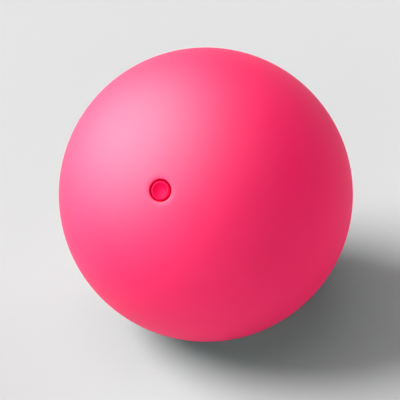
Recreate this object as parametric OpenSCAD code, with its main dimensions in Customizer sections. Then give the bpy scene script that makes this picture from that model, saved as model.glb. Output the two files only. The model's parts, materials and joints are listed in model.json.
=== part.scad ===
// Inflatable vinyl play ball with a push-in valve plug.
// The origin is the middle of the small flat that the ball rests on. +Z is up, and the valve faces -Y and upwards.

/* [Ball] */
// Outer diameter of the inflated ball
ball_d = 229; // [180:1:300]
// Thickness of the moulded skin
skin_t = 0.6; // [0.5:0.05:0.8]
// Height that the ball's own weight presses flat on its underside
rest_depth = 0.5; // [0.3:0.05:1]

/* [Valve place] */
// Angle of the valve above the horizontal, in degrees
valve_angle = 32; // [0:1:60]

/* [Recess] */
// Diameter of the recess that the plug's head sits in
recess_d = 15.75; // [15:0.25:20]
// Depth of the recess floor below the lip
recess_depth = 4.5; // [4:0.1:6]
// Radius of the rolled lip around the recess
lip_r = 1; // [0.9:0.05:1.6]
// Radius of the curve of the shallow dip around the lip
dip_r = 20; // [14:0.5:26]
// Slope of the dip where it meets the lip, in degrees
dip_slope = 5; // [4:1:12]

/* [Valve seat] */
// Diameter of the bore that grips the plug's stem
bore_d = 7.6; // [7:0.1:8.5]
// Wall of the barrel around the bore
barrel_wall = 2.2; // [1.5:0.1:2.4]
// Length of the barrel behind the recess floor
barrel_l = 10; // [8:0.5:12]
// Width of the flange that is bonded behind the recess floor
flange_w = 1.8; // [1:0.1:2]
// Thickness of that flange
flange_t = 1.2; // [0.8:0.1:2]
// Chamfer on both ends of the bore
bore_chamfer = 0.6; // [0.3:0.1:1]

/* [Valve plug] */
// Gap all round between the plug's head and the recess wall
head_clear = 1.125; // [0.6:0.025:1.6]
// Distance of the head's rim below the lip, zero when the two are level
head_sink = 0; // [0:0.1:0.8]
// Radius of the head's rolled rim
rim_r = 1; // [0.6:0.05:1.2]
// Depth of the dish in the head
dish_depth = 2.2; // [1.6:0.1:2.6]
// Length of the stem behind the head
stem_l = 13; // [12.5:0.5:15]
// Width of each rib on the stem
rib_w = 1.6; // [1.2:0.1:2]
// Width of the grooves between the ribs
groove_w = 1.2; // [0.8:0.1:1.6]
// Depth of the grooves
groove_depth = 0.4; // [0.2:0.05:0.6]
// Number of ribs on the stem
ribs = 3; // [2:1:3]
// Length of the stem's tapered tip
tip_l = 2.4; // [1.5:0.1:3]
// Radius that the taper takes off at the tip
tip_taper = 0.8; // [0.4:0.1:1]
// Diameter of the core hole up the stem from its tip
core_d = 3.6; // [3:0.1:4]
// Depth of the core hole
core_l = 9; // [6:0.5:10]

/* [Hidden] */
$fn = 160;

skin_colour = [1, 0.22, 0.42];
seat_colour = [0.9, 0.16, 0.35];
plug_colour = [0.98, 0.15, 0.36];

// Clearances: the seat in the hole of the skin, the stem in its bore, and the head over the recess floor
bond_gap = 0.1;
stem_gap = 0.05;
head_gap = 0.1;
// How far a cut runs past the face that it starts from
overrun = 0.5;
// How far each rounding of a profile stands over the next, so that smooth curves cross cleanly
crossing = 0.01;

ball_r = ball_d / 2;
// Height of the ball's middle above the resting flat
centre_h = ball_r - rest_depth;

// The recess, lip and dip are turned about the valve's axis. Their profile is given by a distance from that axis and
// a height along it from the ball's middle. The dip's arc touches the ball's circle at one end and the lip's arc at
// the other, and the lip's arc runs on into the recess wall.
recess_r = recess_d / 2;
lip_x = recess_r + lip_r;
dip_x = lip_x + (dip_r - lip_r) * sin(dip_slope);
dip_h = sqrt(pow(ball_r - dip_r, 2) - pow(dip_x, 2));
lip_h = dip_h + (dip_r - lip_r) * cos(dip_slope);
// Height of the point where dip and lip meet, which the recess and the plug are measured from
edge_h = lip_h + lip_r * cos(dip_slope);
floor_h = edge_h - recess_depth;

bore_r = bore_d / 2;
barrel_r = bore_r + barrel_wall;
flange_r = barrel_r + flange_w;

head_r = recess_r - head_clear;
head_l = recess_depth - head_sink - head_gap;
stem_r = bore_r - stem_gap;
core_r = core_d / 2;
rim_x = head_r - rim_r;
rim_h = head_l - rim_r;
// Radius of the dish, whose arc runs smoothly into the rim
dish_r = (pow(rim_x, 2) + pow(dish_depth, 2)) / (2 * dish_depth) - rim_r;
dish_h = head_l - dish_depth + dish_r;
dish_edge = rim_x * dish_r / (dish_r + rim_r);

// Puts a shape that stands on the ball's middle, facing +Z, onto the valve's axis
module on_valve_axis() {
    translate([0, 0, centre_h]) rotate([90 - valve_angle, 0, 0]) children();
}

// Half section through all that lies inside the skin's outer surface, or inside a surface that is inset from it
module ball_section(inset) {
    dip_start = dip_x * (ball_r - inset) / (ball_r - dip_r);
    dip_end = lip_x - (lip_r - inset) * sin(dip_slope);
    wall_x = recess_r + inset;
    bottom_h = floor_h - inset;
    difference() {
        intersection() {
            circle(r = ball_r - inset);
            translate([0, -ball_d]) square([ball_d, 2 * ball_d]);
        }
        translate([-overrun, bottom_h]) square([dip_start + overrun, ball_d]);
    }
    // the dip
    intersection() {
        translate([dip_x, dip_h]) circle(r = dip_r - inset + crossing);
        translate([dip_end, 0]) square(ball_d);
    }
    // the lip, and the recess wall below it
    translate([lip_x, lip_h]) circle(r = lip_r - inset + 2 * crossing);
    translate([wall_x, bottom_h - overrun]) square([lip_x - wall_x, lip_h - bottom_h + overrun]);
}

// Everything inside the skin's outer surface, or inside the inset one, with the resting flat cut across it
module ball_body(inset) {
    intersection() {
        on_valve_axis() rotate_extrude() ball_section(inset);
        translate([-ball_d, -ball_d, inset]) cube(2 * ball_d);
    }
}

module ball_skin() {
    color(skin_colour) difference() {
        ball_body(0);
        ball_body(skin_t);
        on_valve_axis() translate([0, 0, floor_h - skin_t - overrun])
            cylinder(r = barrel_r + bond_gap, h = skin_t + 2 * overrun);
    }
}

module valve_seat() {
    start_h = floor_h - barrel_l;
    back_h = floor_h - skin_t;
    color(seat_colour) on_valve_axis() rotate_extrude() polygon([
        [bore_r + bore_chamfer, start_h],
        [barrel_r, start_h],
        [barrel_r, back_h - flange_t],
        [flange_r, back_h - flange_t],
        [flange_r, back_h],
        [barrel_r, back_h],
        [barrel_r, floor_h],
        [bore_r + bore_chamfer, floor_h],
        [bore_r, floor_h - bore_chamfer],
        [bore_r, start_h + bore_chamfer]
    ]);
}

// The head stands on zero and the stem reaches down from it
module plug_head() {
    rotate_extrude() difference() {
        union() {
            square([head_r, rim_h]);
            square([dish_edge, dish_h]);
            translate([rim_x, rim_h]) circle(r = rim_r + crossing);
        }
        translate([0, dish_h]) circle(r = dish_r);
    }
}

module plug_stem() {
    rib_step = rib_w + groove_w;
    difference() {
        rotate_extrude() polygon([
            [0, -stem_l],
            [stem_r - tip_taper, -stem_l],
            [stem_r, tip_l - stem_l],
            [stem_r, 0],
            [0, 0]
        ]);
        for (i = [1 : ribs]) translate([0, 0, tip_l + i * rib_step - groove_w - stem_l])
            rotate_extrude() translate([stem_r - groove_depth, 0]) square([groove_depth + overrun, groove_w]);
        translate([0, 0, -stem_l - overrun]) cylinder(r = core_r, h = core_l + overrun);
    }
}

module valve_plug() {
    color(plug_colour) on_valve_axis() translate([0, 0, floor_h + head_gap]) {
        plug_head();
        plug_stem();
    }
}

ball_skin();
valve_seat();
valve_plug();
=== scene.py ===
# Dresses the play ball: its one-piece vinyl skin with the valve recess, the seat behind it and the plug.
# Lengths are in metres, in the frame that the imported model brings.
import json
import math

import bpy
import numpy as np
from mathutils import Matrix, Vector


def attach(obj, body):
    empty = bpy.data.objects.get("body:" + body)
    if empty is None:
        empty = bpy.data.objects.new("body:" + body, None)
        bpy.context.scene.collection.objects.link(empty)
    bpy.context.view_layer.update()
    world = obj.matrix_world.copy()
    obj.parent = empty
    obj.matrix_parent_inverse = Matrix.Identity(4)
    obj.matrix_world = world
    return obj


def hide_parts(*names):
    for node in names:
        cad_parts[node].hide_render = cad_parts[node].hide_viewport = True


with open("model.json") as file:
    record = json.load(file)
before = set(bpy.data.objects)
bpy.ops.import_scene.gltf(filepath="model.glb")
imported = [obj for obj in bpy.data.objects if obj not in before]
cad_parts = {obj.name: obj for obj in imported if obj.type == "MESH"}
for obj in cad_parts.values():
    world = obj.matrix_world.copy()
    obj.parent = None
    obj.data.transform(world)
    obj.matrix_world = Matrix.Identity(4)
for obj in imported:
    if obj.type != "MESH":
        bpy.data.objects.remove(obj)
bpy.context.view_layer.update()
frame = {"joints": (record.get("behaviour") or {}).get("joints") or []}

mm = 0.001
sharpAngle = math.radians(40)               # an edge that turns by more than this is shaded sharp
goldenAngle = math.pi * (3 - math.sqrt(5))

# The ball's own lengths, as the construction has them. x is a distance from the valve's axis and h a height
# along it, counted from the ball's middle.
ball = {
    "radius": 114.5 * mm,
    "wall": 0.6 * mm,
    "restDepth": 0.5 * mm,       # how much of the underside the ball's weight presses flat
    "recessRadius": 7.875 * mm,
    "recessDepth": 4.5 * mm,
    "recessFillet": 0.7 * mm,    # rounding between the recess wall and its floor
    "recessBackEdge": 0.1 * mm,  # the same corner, seen from inside the ball
    "lipRadius": 1 * mm,
    "dipRadius": 20 * mm,
    "dipSlope": math.radians(5),
    "holeRadius": 6.1 * mm,      # hole in the recess floor, which the seat fills
    "holeEdge": 0.12 * mm,
    "seamHeight": 0.1 * mm,      # mould line round the ball, a quarter turn away from the valve
    "seamWidth": 0.5 * mm,
    "seamRows": 17,
    "aroundSteps": 256,
    "outerRows": 118,
    "innerRows": 72,
    "dipRows": 26,
    "lipRows": 14,
}

valveAxis = np.array(frame["joints"][0]["axis"], float)
valveAxis /= np.linalg.norm(valveAxis)
ballMiddle = np.array([0, 0, ball["radius"] - ball["restDepth"]])

# The dip's arc touches the ball's circle and the lip's arc, and the lip's arc touches the recess wall.
lipX = ball["recessRadius"] + ball["lipRadius"]
dipReach = ball["dipRadius"] - ball["lipRadius"]
dipX = lipX + dipReach * math.sin(ball["dipSlope"])
dipH = math.sqrt((ball["radius"] - ball["dipRadius"]) ** 2 - dipX ** 2)
lipH = dipH + dipReach * math.cos(ball["dipSlope"])
edgeH = lipH + ball["lipRadius"] * math.cos(ball["dipSlope"])
floorH = edgeH - ball["recessDepth"]


def placed(name, data):
    made = bpy.data.objects.new(name, data)
    bpy.context.scene.collection.objects.link(made)
    return made


def arc(centre, radius, start, stop, count):
    # Points of a circle about centre: x grows with the sine of an angle and h with its cosine.
    turn = np.linspace(start, stop, count)
    return np.stack([centre[0] + radius * np.sin(turn), centre[1] + radius * np.cos(turn)], 1)


def corners(points, radii, count=6):
    # A polyline whose corners are rounded: at each corner the arc starts and ends at radius times the
    # tangent of half the turn away from it, and its points lie at that radius from the middle of the arc.
    # Radius 0 leaves a corner as it is.
    points = np.asarray(points, float)
    parts = []
    for i, radius in enumerate(radii):
        here = points[i]
        if radius == 0:
            parts.append(here[None])
            continue
        into = here - points[i - 1]
        into /= np.linalg.norm(into)
        away = points[(i + 1) % len(points)] - here
        away /= np.linalg.norm(away)
        turn = math.acos(np.clip(into @ away, -1, 1))
        first = here - into * radius * math.tan(turn / 2)
        inward = (away - into) / np.linalg.norm(away - into)
        middle = here + inward * radius / math.cos(turn / 2)
        share = np.linspace(0, turn, count)[:, None]
        parts.append(middle + (first - middle) * np.cos(share) + into * radius * np.sin(share))
    return np.concatenate(parts)


def joined(*parts):
    # One profile out of several, without the points that two neighbours share.
    points = np.concatenate(parts)
    step = np.linalg.norm(np.diff(points, axis=0), axis=1)
    return points[np.concatenate([[True], step > 0.001 * mm])]


def turned(name, profile, steps, closed=False):
    # Turns a profile about the valve's axis: a point of it goes to the ball's middle, plus h along the
    # axis, plus x times the cosine and sine of the turn along two directions square to it. An end on the
    # axis becomes one point.
    side = np.array([1.0, 0, 0])
    over = np.cross(valveAxis, side)
    rows = profile if closed else profile[1:-1]
    count = len(rows)
    turn = np.arange(steps) * 2 * math.pi / steps
    ring = np.cos(turn)[:, None] * side + np.sin(turn)[:, None] * over
    grid = rows[:, :1, None] * ring[None] + rows[:, 1:, None] * valveAxis
    points = ballMiddle + grid.reshape(-1, 3)
    low = np.arange(count if closed else count - 1)[:, None] * steps
    high = (low + steps) % (count * steps)
    here = np.arange(steps)
    after = (here + 1) % steps
    faces = np.stack([low + here, low + after, high + after, high + here], -1).reshape(-1, 4).tolist()
    if not closed:
        ends = ballMiddle + profile[[0, -1], 1:] * valveAxis
        points = np.concatenate([points, ends])
        end = np.full(steps, count * steps)
        last = (count - 1) * steps
        faces += np.stack([end, after, here], 1).tolist()
        faces += np.stack([end + 1, last + here, last + after], 1).tolist()
    mesh = bpy.data.meshes.new(name)
    mesh.from_pydata(points.tolist(), [], faces)
    mesh.validate()
    mesh.polygons.foreach_set("use_smooth", np.ones(len(mesh.polygons), bool))
    mesh.set_sharp_from_angle(angle=sharpAngle)
    return placed(name, mesh), points


def setPoints(piece, points):
    piece.data.vertices.foreach_set("co", points.astype(np.float32).ravel())
    piece.data.update()


def addValues(piece, name, values):
    # Keeps one number for each point, which a material can read.
    layer = piece.data.attributes.new(name, "FLOAT", "POINT")
    layer.data.foreach_set("value", np.asarray(values, np.float32))


def smoothStep(values, low, high):
    # 0 below low and 1 above high; between them, three times the square of the share less twice its cube.
    share = np.clip((values - low) / (high - low), 0, 1)
    return share * share * (3 - 2 * share)


def skinSide(inset, circleRows, seam):
    # From the pole across from the valve to the foot of the lip: circle, dip and lip, all inset alike. The
    # mould line is a bell curve of the distance from it, and has rows of its own out to four half widths.
    radius = ball["radius"] - inset
    dipAngle = math.atan2(dipX, dipH)
    turn = np.linspace(math.pi, dipAngle, circleRows)
    reach = np.full(circleRows, radius)
    if seam:
        half = ball["seamWidth"] / 2 / radius
        near = math.pi / 2 + np.linspace(-4, 4, ball["seamRows"]) * half
        turn = np.sort(np.concatenate([turn, near]))[::-1]
        reach = radius + ball["seamHeight"] * np.exp(-((turn - math.pi / 2) / half) ** 2)
    circle = np.stack([reach * np.sin(turn), reach * np.cos(turn)], 1)
    circle[0, 0] = 0
    dip = arc((dipX, dipH), ball["dipRadius"] - inset, dipAngle, -ball["dipSlope"], ball["dipRows"])
    lip = arc((lipX, lipH), ball["lipRadius"] - inset, -ball["dipSlope"], -math.pi / 2, ball["lipRows"])
    return joined(circle, dip, lip)


def makeSkin():
    # One closed wall: up the outside, down the recess, through the hole in its floor, back along the inside.
    wall, recess, hole = ball["wall"], ball["recessRadius"], ball["holeRadius"]
    outside = skinSide(0, ball["outerRows"], True)
    inside = skinSide(wall, ball["innerRows"], False)[::-1]
    cup = corners(
        [(recess, lipH), (recess, floorH), (hole, floorH), (hole, floorH - wall),
         (recess + wall, floorH - wall), (recess + wall, lipH)],
        [0, ball["recessFillet"], ball["holeEdge"], ball["holeEdge"], ball["recessBackEdge"], 0])
    piece, points = turned("ballSkin", joined(outside, cup, inside), ball["aroundSteps"])
    # the resting flat: what hangs below it is raised onto it, on the outside and on the inside
    split = len(outside) * ball["aroundSteps"]
    index = np.arange(len(points))
    outer = (index < split) | (index == len(points) - 2)
    points[:, 2] = np.maximum(points[:, 2], np.where(outer, 0.0, wall))
    setPoints(piece, points)
    # how deep a point lies in the recess, from 0 on the open skin to 1 on its floor; it places the recess's
    # painted shade and its matte gloss
    height = (points - ballMiddle) @ valveAxis
    across = np.linalg.norm(points - ballMiddle - height[:, None] * valveAxis, axis=1)
    deep = smoothStep(-height, -edgeH, -floorH) * (across < lipX) * (height > 0)
    addValues(piece, "deep", deep)
    return piece


skin = makeSkin()
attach(skin, "ball")
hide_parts("ball_skin")
print("skin made")

# The seat behind the recess.
seat = {
    "boreRadius": 3.8 * mm,
    "barrelRadius": 6 * mm,
    "barrelLength": 10 * mm,
    "flangeRadius": 7.8 * mm,
    "flangeThickness": 1.2 * mm,
    "chamfer": 0.6 * mm,
    "edge": 0.2 * mm,            # rounding of the moulded edges
    "bondEdge": 0.05 * mm,       # rounding of the inner corner that lies against the skin
    "aroundSteps": 96,
}


def makeSeat():
    # A barrel with a flange: a closed outline with rounded corners, turned about the valve's axis.
    bore, barrel, flange = seat["boreRadius"], seat["barrelRadius"], seat["flangeRadius"]
    start, back = floorH - seat["barrelLength"], floorH - ball["wall"]
    under = back - seat["flangeThickness"]
    chamfer = seat["chamfer"]
    points = [(bore + chamfer, start), (barrel, start), (barrel, under), (flange, under), (flange, back),
              (barrel, back), (barrel, floorH), (bore + chamfer, floorH), (bore, floorH - chamfer),
              (bore, start + chamfer)]
    radii = [seat["edge"]] * len(points)
    radii[5] = seat["bondEdge"]      # the corner between the front of the flange and the barrel
    return turned("valveSeat", corners(points, radii), seat["aroundSteps"], closed=True)[0]


valveSeat = makeSeat()
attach(valveSeat, "ball")
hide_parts("valve_seat")
print("seat made")

# The plug.
plug = {
    "headRadius": 6.75 * mm,
    "headSink": 0 * mm,          # how far the rim of the head lies below the lip
    "headGap": 0.1 * mm,         # between the head and the recess floor
    "rimRadius": 1 * mm,
    "rimRows": 20,
    "dishDepth": 2.2 * mm,
    "dishRows": 40,
    "stemRadius": 3.75 * mm,
    "stemLength": 13 * mm,
    "ribWidth": 1.6 * mm,
    "grooveWidth": 1.2 * mm,
    "grooveDepth": 0.4 * mm,
    "ribs": 3,
    "tipLength": 2.4 * mm,
    "tipTaper": 0.8 * mm,
    "coreRadius": 1.8 * mm,
    "coreLength": 9 * mm,
    "coreFillet": 0.5 * mm,      # rounding at the blind end of the core hole
    "edge": 0.15 * mm,
    "gateRadius": 0.5 * mm,      # nib left by the mould in the middle of the dish
    "gateSlope": 0.3,            # its side slopes over this share of the radius, inwards and outwards
    "gateHeight": 0.12 * mm,
    "aroundSteps": 128,
}


def makePlug():
    # The head's dish and rolled rim are two arcs that touch. Below them is the ribbed stem with its hole.
    head, rimRadius, depth = plug["headRadius"], plug["rimRadius"], plug["dishDepth"]
    headLength = ball["recessDepth"] - plug["headSink"] - plug["headGap"]
    rimX, rimH = head - rimRadius, headLength - rimRadius
    dishRadius = (rimX ** 2 + depth ** 2) / (2 * depth) - rimRadius
    dishH = headLength - depth + dishRadius
    lean = math.atan2(rimX, dishH - rimH)
    dish = arc((0, dishH), dishRadius, math.pi, math.pi - lean, plug["dishRows"])
    inner, outer = plug["gateRadius"] * (1 - plug["gateSlope"]), plug["gateRadius"] * (1 + plug["gateSlope"])
    dish[:, 1] += plug["gateHeight"] * (1 - smoothStep(dish[:, 0], inner, outer))
    rim = arc((rimX, rimH), rimRadius, -lean, math.pi / 2, plug["rimRows"])
    stem, length, edge = plug["stemRadius"], plug["stemLength"], plug["edge"]
    points = [(head, rimH), (head, 0), (stem, 0)]
    radii = [0, edge, edge]
    step = plug["ribWidth"] + plug["grooveWidth"]
    waist = stem - plug["grooveDepth"]
    for i in range(plug["ribs"], 0, -1):
        low = plug["tipLength"] + i * step - plug["grooveWidth"] - length
        high = low + plug["grooveWidth"]
        points += [(stem, high), (waist, high), (waist, low), (stem, low)]
        radii += [edge] * 4
    core, coreH = plug["coreRadius"], plug["coreLength"] - length
    points += [(stem, plug["tipLength"] - length), (stem - plug["tipTaper"], -length), (core, -length),
               (core, coreH), (0, coreH)]
    radii += [edge, edge, edge, plug["coreFillet"], 0]
    profile = joined(dish, rim, corners(points, radii))
    profile[:, 1] += floorH + plug["headGap"]
    return turned("valvePlug", profile[::-1], plug["aroundSteps"])[0]


valvePlug = makePlug()
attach(valvePlug, "plug")
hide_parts("valve_plug")
print("plug made")


class Wire:
    # A socket of a node tree. A sum, difference or product with a number or another wire, and the larger of
    # two, adds a Math node.
    def __init__(self, paint, socket):
        self.paint, self.socket = paint, socket

    def join(self, operation, first, second):
        return self.paint.add("ShaderNodeMath", {"operation": operation}, {0: first, 1: second})

    def __add__(self, other):
        return self.join("ADD", self, other)

    def __sub__(self, other):
        return self.join("SUBTRACT", self, other)

    def __rsub__(self, other):
        return self.join("SUBTRACT", other, self)

    def __mul__(self, other):
        return self.join("MULTIPLY", self, other)

    def larger(self, other):
        return self.join("MAXIMUM", self, other)

    __radd__ = __add__
    __rmul__ = __mul__


class Paint:
    # The node tree of a material or of the world.
    def __init__(self, owner):
        self.owner = owner
        owner.use_nodes = True
        self.tree = owner.node_tree
        self.tree.nodes.clear()

    def add(self, kind, settings=None, sockets=None, out=0):
        node = self.tree.nodes.new(kind)
        for key, value in (settings or {}).items():
            setattr(node, key, value)
        for key, value in (sockets or {}).items():
            if isinstance(value, Wire):
                self.tree.links.new(value.socket, node.inputs[key])
            else:
                node.inputs[key].default_value = value
        return Wire(self, node.outputs[out]) if node.outputs else None

    def noise(self, where, scale, detail, roughness=0.5):
        return self.add("ShaderNodeTexNoise", {}, {
            "Vector": where, "Scale": scale, "Detail": detail, "Roughness": roughness})

    def band(self, value, levels):
        return self.add("ShaderNodeMapRange", {"interpolation_type": "SMOOTHSTEP"},
                        {"Value": value, "From Min": levels[0], "From Max": levels[1]})

    def blend(self, share, first, second, how="MIX"):
        # sockets 6 and 7 of a Mix node are its two colours, and output 2 is the blended one
        return self.add("ShaderNodeMix", {"data_type": "RGBA", "blend_type": how},
                        {0: share, 6: first, 7: second}, out=2)

    def surface(self, colour, roughness, specular, normal=None):
        sockets = {"Base Color": colour, "Roughness": roughness, "Specular IOR Level": specular}
        if normal:
            sockets["Normal"] = normal
        return self.add("ShaderNodeBsdfPrincipled", {}, sockets)


# The vinyl. Each look is what a user would change about it.
skinLook = {
    "colour": (1.0, 0.001, 0.118),
    "worn": (1.0, 0.012, 0.145),     # where handling has dulled it
    # painted shade: the skin's colour turns darker and redder down in the recess
    "deep": (0.98, 0.002, 0.1),      # in the recess
    "roughness": 0.62,
    "specular": 0.4,
    "deepSpecular": 0.04,
    "grainSize": 0.5 * mm,
    "grainHeight": 0.04 * mm,
    "swellSize": 24 * mm,
    "swellHeight": 0.05 * mm,
    "patchesPerMetre": 22,
    "patchBand": (0.35, 0.7),        # noise levels at which a patch starts and is full
    "patchWear": 0.3,                # how far the patches go towards the worn colour
    "patchRoughness": 0.08,
    "rubsPerMetre": 140,
    "rubBand": (0.55, 0.75),
    "rubPatches": (0.48, 0.68),      # rubs show only where the patches are above these levels
    "rubWear": 0.25,
    "rubRoughness": 0.1,
}
# the plug is the skin's vinyl; its deeper, less blue colour is painted shade of the recess it sits in
plugLook = {**skinLook, "colour": (0.99, 0.002, 0.08), "worn": (0.99, 0.008, 0.1), "specular": 0.04}
seatLook = {**skinLook, "colour": (0.9, 0.006, 0.08), "worn": (0.93, 0.015, 0.11), "specular": 0.12}


def vinyl(name, look, hasDeep=False):
    # Satin moulded vinyl: a fine grain from the mould, a slow swell, and faint patches dulled by handling.
    paint = Paint(bpy.data.materials.new(name))
    where = paint.add("ShaderNodeTexCoord", out="Object")
    patches = paint.noise(where, look["patchesPerMetre"], 4, 0.6)
    spots = paint.noise(where, look["rubsPerMetre"], 6, 0.7)
    rubbed = paint.band(spots, look["rubBand"]) * paint.band(patches, look["rubPatches"])
    wear = paint.band(patches, look["patchBand"]) * look["patchWear"] + rubbed * look["rubWear"]
    colour = paint.blend(wear, (*look["colour"], 1), (*look["worn"], 1))
    # painted shade: down in the recess the colour is blended towards the darker, redder one
    if hasDeep:
        deep = paint.add("ShaderNodeAttribute", {"attribute_name": "deep"}, out="Fac")
        colour = paint.blend(deep, colour, (*look["deep"], 1))
    grain = paint.noise(where, 1 / look["grainSize"], 3, 0.55)
    swell = paint.noise(where, 1 / look["swellSize"], 1, 0.4)
    height = grain * (look["grainHeight"] / mm) + swell * (look["swellHeight"] / mm)
    bump = paint.add("ShaderNodeBump", {}, {"Strength": 1.0, "Distance": mm, "Height": height})
    roughness = look["roughness"] + (patches - 0.5) * look["patchRoughness"] + rubbed * look["rubRoughness"]
    shader = paint.surface(colour, roughness, look["specular"], bump)
    if hasDeep:      # down in the recess the skin has next to no gloss
        matte = paint.surface(colour, roughness, look["deepSpecular"], bump)
        shader = paint.add("ShaderNodeMixShader", {}, {0: deep, 1: shader, 2: matte})
    paint.add("ShaderNodeOutputMaterial", {}, {"Surface": shader})
    return paint.owner


skin.data.materials.append(vinyl("skinVinyl", skinLook, hasDeep=True))
valveSeat.data.materials.append(vinyl("seatVinyl", seatLook))
valvePlug.data.materials.append(vinyl("plugVinyl", plugLook))
print("vinyl painted")

# Camera and lamps. Angles go round from -Y towards +X, as the views' do, and up from the floor.
view = {
    "around": 19,
    "up": 32,
    "away": 0.915,
    "lens": 105,
    "sensor": 36,
    "aimLeft": 4.5 * mm,             # the camera aims a little left of the ball's middle and below it
    "aimDown": 4.2 * mm,
    "clipStart": 0.01,
    "clipEnd": 200,
}
lampsAway = 2.0      # a sun lamp lights alike from anywhere; this keeps the lamps clear of the ball on screen
lamps = {
    "key": {"around": view["around"] - 89, "up": 44, "wide": 36, "level": 1.15},
    "fill": {"around": view["around"] - 10, "up": 12, "wide": 50, "level": 0.385, "shines": False},
    "rim": {"around": view["around"] + 115, "up": 6, "wide": 20, "level": 0.48, "shines": False},
    "top": {"around": view["around"] - 60, "up": 70, "wide": 60, "level": 0.215, "shines": False},
    "sheen": {"around": view["around"] - 90, "up": 42, "wide": 90, "level": 5.7, "lights": False},
}


def towards(around, up):
    turn, rise = math.radians(around), math.radians(up)
    return Vector((math.sin(turn) * math.cos(rise), -math.cos(turn) * math.cos(rise), math.sin(rise)))


# Floor and backdrop.
stageLook = {
    "floorReach": 28.0,
    "floorSteps": 72,
    "floorRings": 56,
    "firstRing": 12 * mm,
    "floor": (0.685, 0.685, 0.688),
    "floorRoughness": 0.9,
    "floorShade": 0.985,             # what the floor's faint unevenness leaves of its colour
    "shadesPerMetre": 3,
    "backdrop": (0.76, 0.76, 0.763),
    "ceiling": (0.12, 0.12, 0.12),
    "ceilingBand": (0.22, 0.55),     # the studio is pale up to the first height and unlit from the second
    "ambient": 0.01,                 # what little light comes from all round
    "throughGloss": 0.86,            # share of the ball's own colour that its gloss lets out
    "bounceShadeReach": 3.0,               # farther out the ball's pink light no longer counts
    "leastGap": 4 * mm,              # a gap between floor and ball counts as no smaller than this
    "lampPoints": 64,
    "ballPoints": 1200,
}


def spread(lamp, count):
    # Directions evenly spread over a lamp's round face: each turns by the golden angle from the one before,
    # and the square of its distance from the middle grows evenly.
    step = np.arange(count) + 0.5
    turn = step * goldenAngle
    tilt = np.sqrt(step / count) * math.radians(lamp["wide"]) / 2
    middle = towards(lamp["around"], lamp["up"])
    side = middle.orthogonal().normalized()
    over = middle.cross(side)
    return (np.cos(tilt)[:, None] * np.array(middle) + (np.sin(tilt) * np.cos(turn))[:, None] * np.array(side)
            + (np.sin(tilt) * np.sin(turn))[:, None] * np.array(over))


def allRound(count):
    # Directions evenly spread over a sphere: even steps of height, each turned by the golden angle.
    step = np.arange(count) + 0.5
    height = 1 - 2 * step / count
    level = np.sqrt(1 - height ** 2)
    return np.stack([level * np.cos(step * goldenAngle), level * np.sin(step * goldenAngle), height], 1)


def bounceShadeShare(points, areas):
    # Painted shade for the floor: how much of each channel its colour keeps so that the ball's own pink light
    # doesn't tint it, the lamps' light over that light plus what the ball sends down. A ray to a lamp is
    # blocked where it passes nearer to the ball's middle than its radius. Ball and floor pass light on as the
    # product of their cosines over pi times the distance squared.
    radius = ball["radius"]
    normals = allRound(stageLook["ballPoints"])
    direct = np.zeros(len(points))
    onBall = np.zeros(len(normals))
    for lamp in lamps.values():
        if not lamp.get("lights", True):
            continue
        rays = spread(lamp, stageLook["lampPoints"])
        along = (ballMiddle - points) @ rays.T
        nearest = np.sum((ballMiddle - points) ** 2, 1)[:, None] - along ** 2
        clear = (along < 0) | (nearest > radius ** 2)
        direct += lamp["level"] * np.mean(np.maximum(rays[:, 2], 0) * clear, 1)
        onBall += lamp["level"] * np.mean(np.maximum(normals @ rays.T, 0), 1)
    gap = (ballMiddle + radius * normals)[None] - points[:, None]
    away = np.maximum(np.linalg.norm(gap, axis=2), stageLook["leastGap"])
    passed = np.maximum(gap[..., 2], 0) * np.maximum(-np.sum(gap * normals, 2), 0) / (math.pi * away ** 4)
    onBall += (direct * areas * stageLook["floor"][0]) @ passed
    sent = passed @ onBall * 4 * math.pi * radius ** 2 / len(normals)
    direct = direct[:, None] + stageLook["ambient"]
    return direct / (direct + sent[:, None] * stageLook["throughGloss"] * np.array(skinLook["colour"]))


def makeFloor():
    # Rings round the ball, each a fixed share wider than the one before, with a point under the ball.
    steps, rings = stageLook["floorSteps"], stageLook["floorRings"]
    reach = np.geomspace(stageLook["firstRing"], stageLook["floorReach"], rings)
    turn = np.arange(steps) * 2 * math.pi / steps
    x, y = reach[:, None] * np.cos(turn), reach[:, None] * np.sin(turn)
    points = np.concatenate([[[0, 0, 0]], np.stack([x, y, 0 * x], 2).reshape(-1, 3)])
    areas = np.concatenate([[0], np.repeat(np.gradient(reach) * reach * 2 * math.pi / steps, steps)])
    low = np.arange(rings - 1)[:, None] * steps + 1
    high = low + steps
    here = np.arange(steps)
    after = (here + 1) % steps
    quads = np.stack([low + here, high + here, high + after, low + after], 2).reshape(-1, 4)
    fan = np.stack([0 * here, 1 + here, 1 + after], 1)
    mesh = bpy.data.meshes.new("floor")
    mesh.from_pydata(points.tolist(), [], quads.tolist() + fan.tolist())
    # painted shade: near the ball the floor's colour loses red and blue, which cancels the ball's pink light
    # on it
    share = np.ones((len(points), 4))
    near = np.linalg.norm(points, axis=1) < stageLook["bounceShadeReach"]
    share[near, :3] = bounceShadeShare(points[near], areas[near])
    layer = mesh.attributes.new("bounceShade", "FLOAT_COLOR", "POINT")
    layer.data.foreach_set("color", share.astype(np.float32).ravel())
    paint = Paint(bpy.data.materials.new("paleFloor"))
    shade = paint.noise(paint.add("ShaderNodeTexCoord", out="Object"), stageLook["shadesPerMetre"], 2)
    darker = [channel * stageLook["floorShade"] for channel in stageLook["floor"]]
    colour = paint.blend(shade, (*stageLook["floor"], 1), (*darker, 1))
    bounceShade = paint.add("ShaderNodeAttribute", {"attribute_name": "bounceShade"}, out="Color")
    shader = paint.surface(paint.blend(1.0, colour, bounceShade, "MULTIPLY"), stageLook["floorRoughness"], 0.0)
    paint.add("ShaderNodeOutputMaterial", {}, {"Surface": shader})
    mesh.materials.append(paint.owner)
    floor = placed("floor", mesh)


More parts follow.
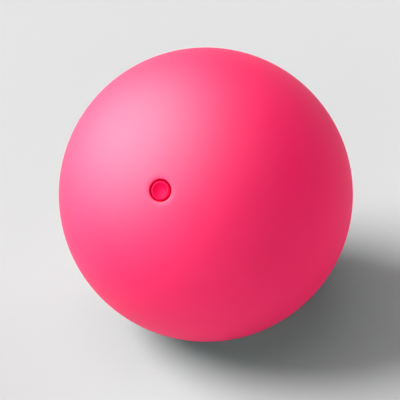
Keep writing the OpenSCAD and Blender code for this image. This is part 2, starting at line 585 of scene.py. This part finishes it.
def makeBackdrop():
    # Camera, glossy and transmission rays see the pale backdrop, which gives way to the unlit ceiling by
    # the height of the ray's direction. The rest get only the faint ambient light.
    world = bpy.data.worlds.new("studio")
    bpy.context.scene.world = world
    paint = Paint(world)
    rays = ["Is Camera Ray", "Is Glossy Ray", "Is Transmission Ray"]
    eye, gloss, through = [paint.add("ShaderNodeLightPath", out=name) for name in rays]
    direction = paint.add("ShaderNodeTexCoord", out="Generated")
    height = paint.add("ShaderNodeSeparateXYZ", {}, {0: direction}, out="Z")
    upper = paint.band(height, stageLook["ceilingBand"])
    room = paint.blend(upper, (*stageLook["backdrop"], 1), (*stageLook["ceiling"], 1))
    pale = paint.add("ShaderNodeBackground", {}, {"Color": room, "Strength": 1.0})
    faint = paint.add("ShaderNodeBackground", {}, {"Color": (1, 1, 1, 1), "Strength": stageLook["ambient"]})
    both = paint.add("ShaderNodeMixShader", {}, {0: eye.larger(gloss).larger(through), 1: faint, 2: pale})
    paint.add("ShaderNodeOutputWorld", {}, {"Surface": both})


makeFloor()
makeBackdrop()
print("stage made")


def makeCamera():
    back = towards(view["around"], view["up"])
    facing = back.to_track_quat("Z", "Y")
    offset = facing @ Vector((-view["aimLeft"], -view["aimDown"], 0))
    data = bpy.data.cameras.new("camera")
    data.lens, data.sensor_width = view["lens"], view["sensor"]
    data.clip_start, data.clip_end = view["clipStart"], view["clipEnd"]
    camera = placed("camera", data)
    camera.location = Vector(ballMiddle) + back * view["away"]
    camera.rotation_mode = "QUATERNION"
    camera.rotation_quaternion = (back * view["away"] - offset).to_track_quat("Z", "Y")
    bpy.context.scene.camera = camera


def makeLamps():
    # Each lamp is a far, soft one, as wide as its angle says. At level 1 a white sheet that faces it
    # renders white. The three weak ones leave no highlight of their own, and the broad sheen is seen only
    # as a reflection.
    for name, lamp in lamps.items():
        data = bpy.data.lights.new(name, "SUN")
        data.energy = lamp["level"] * math.pi
        data.angle = math.radians(lamp["wide"])
        light = placed(name, data)
        back = towards(lamp["around"], lamp["up"])
        light.location = back * lampsAway
        light.rotation_mode = "QUATERNION"
        light.rotation_quaternion = back.to_track_quat("Z", "Y")
        light.visible_glossy = lamp.get("shines", True)
        light.visible_diffuse = lamp.get("lights", True)


makeCamera()
makeLamps()
bpy.context.scene.view_settings.view_transform = "Standard"
print("camera and lamps placed")
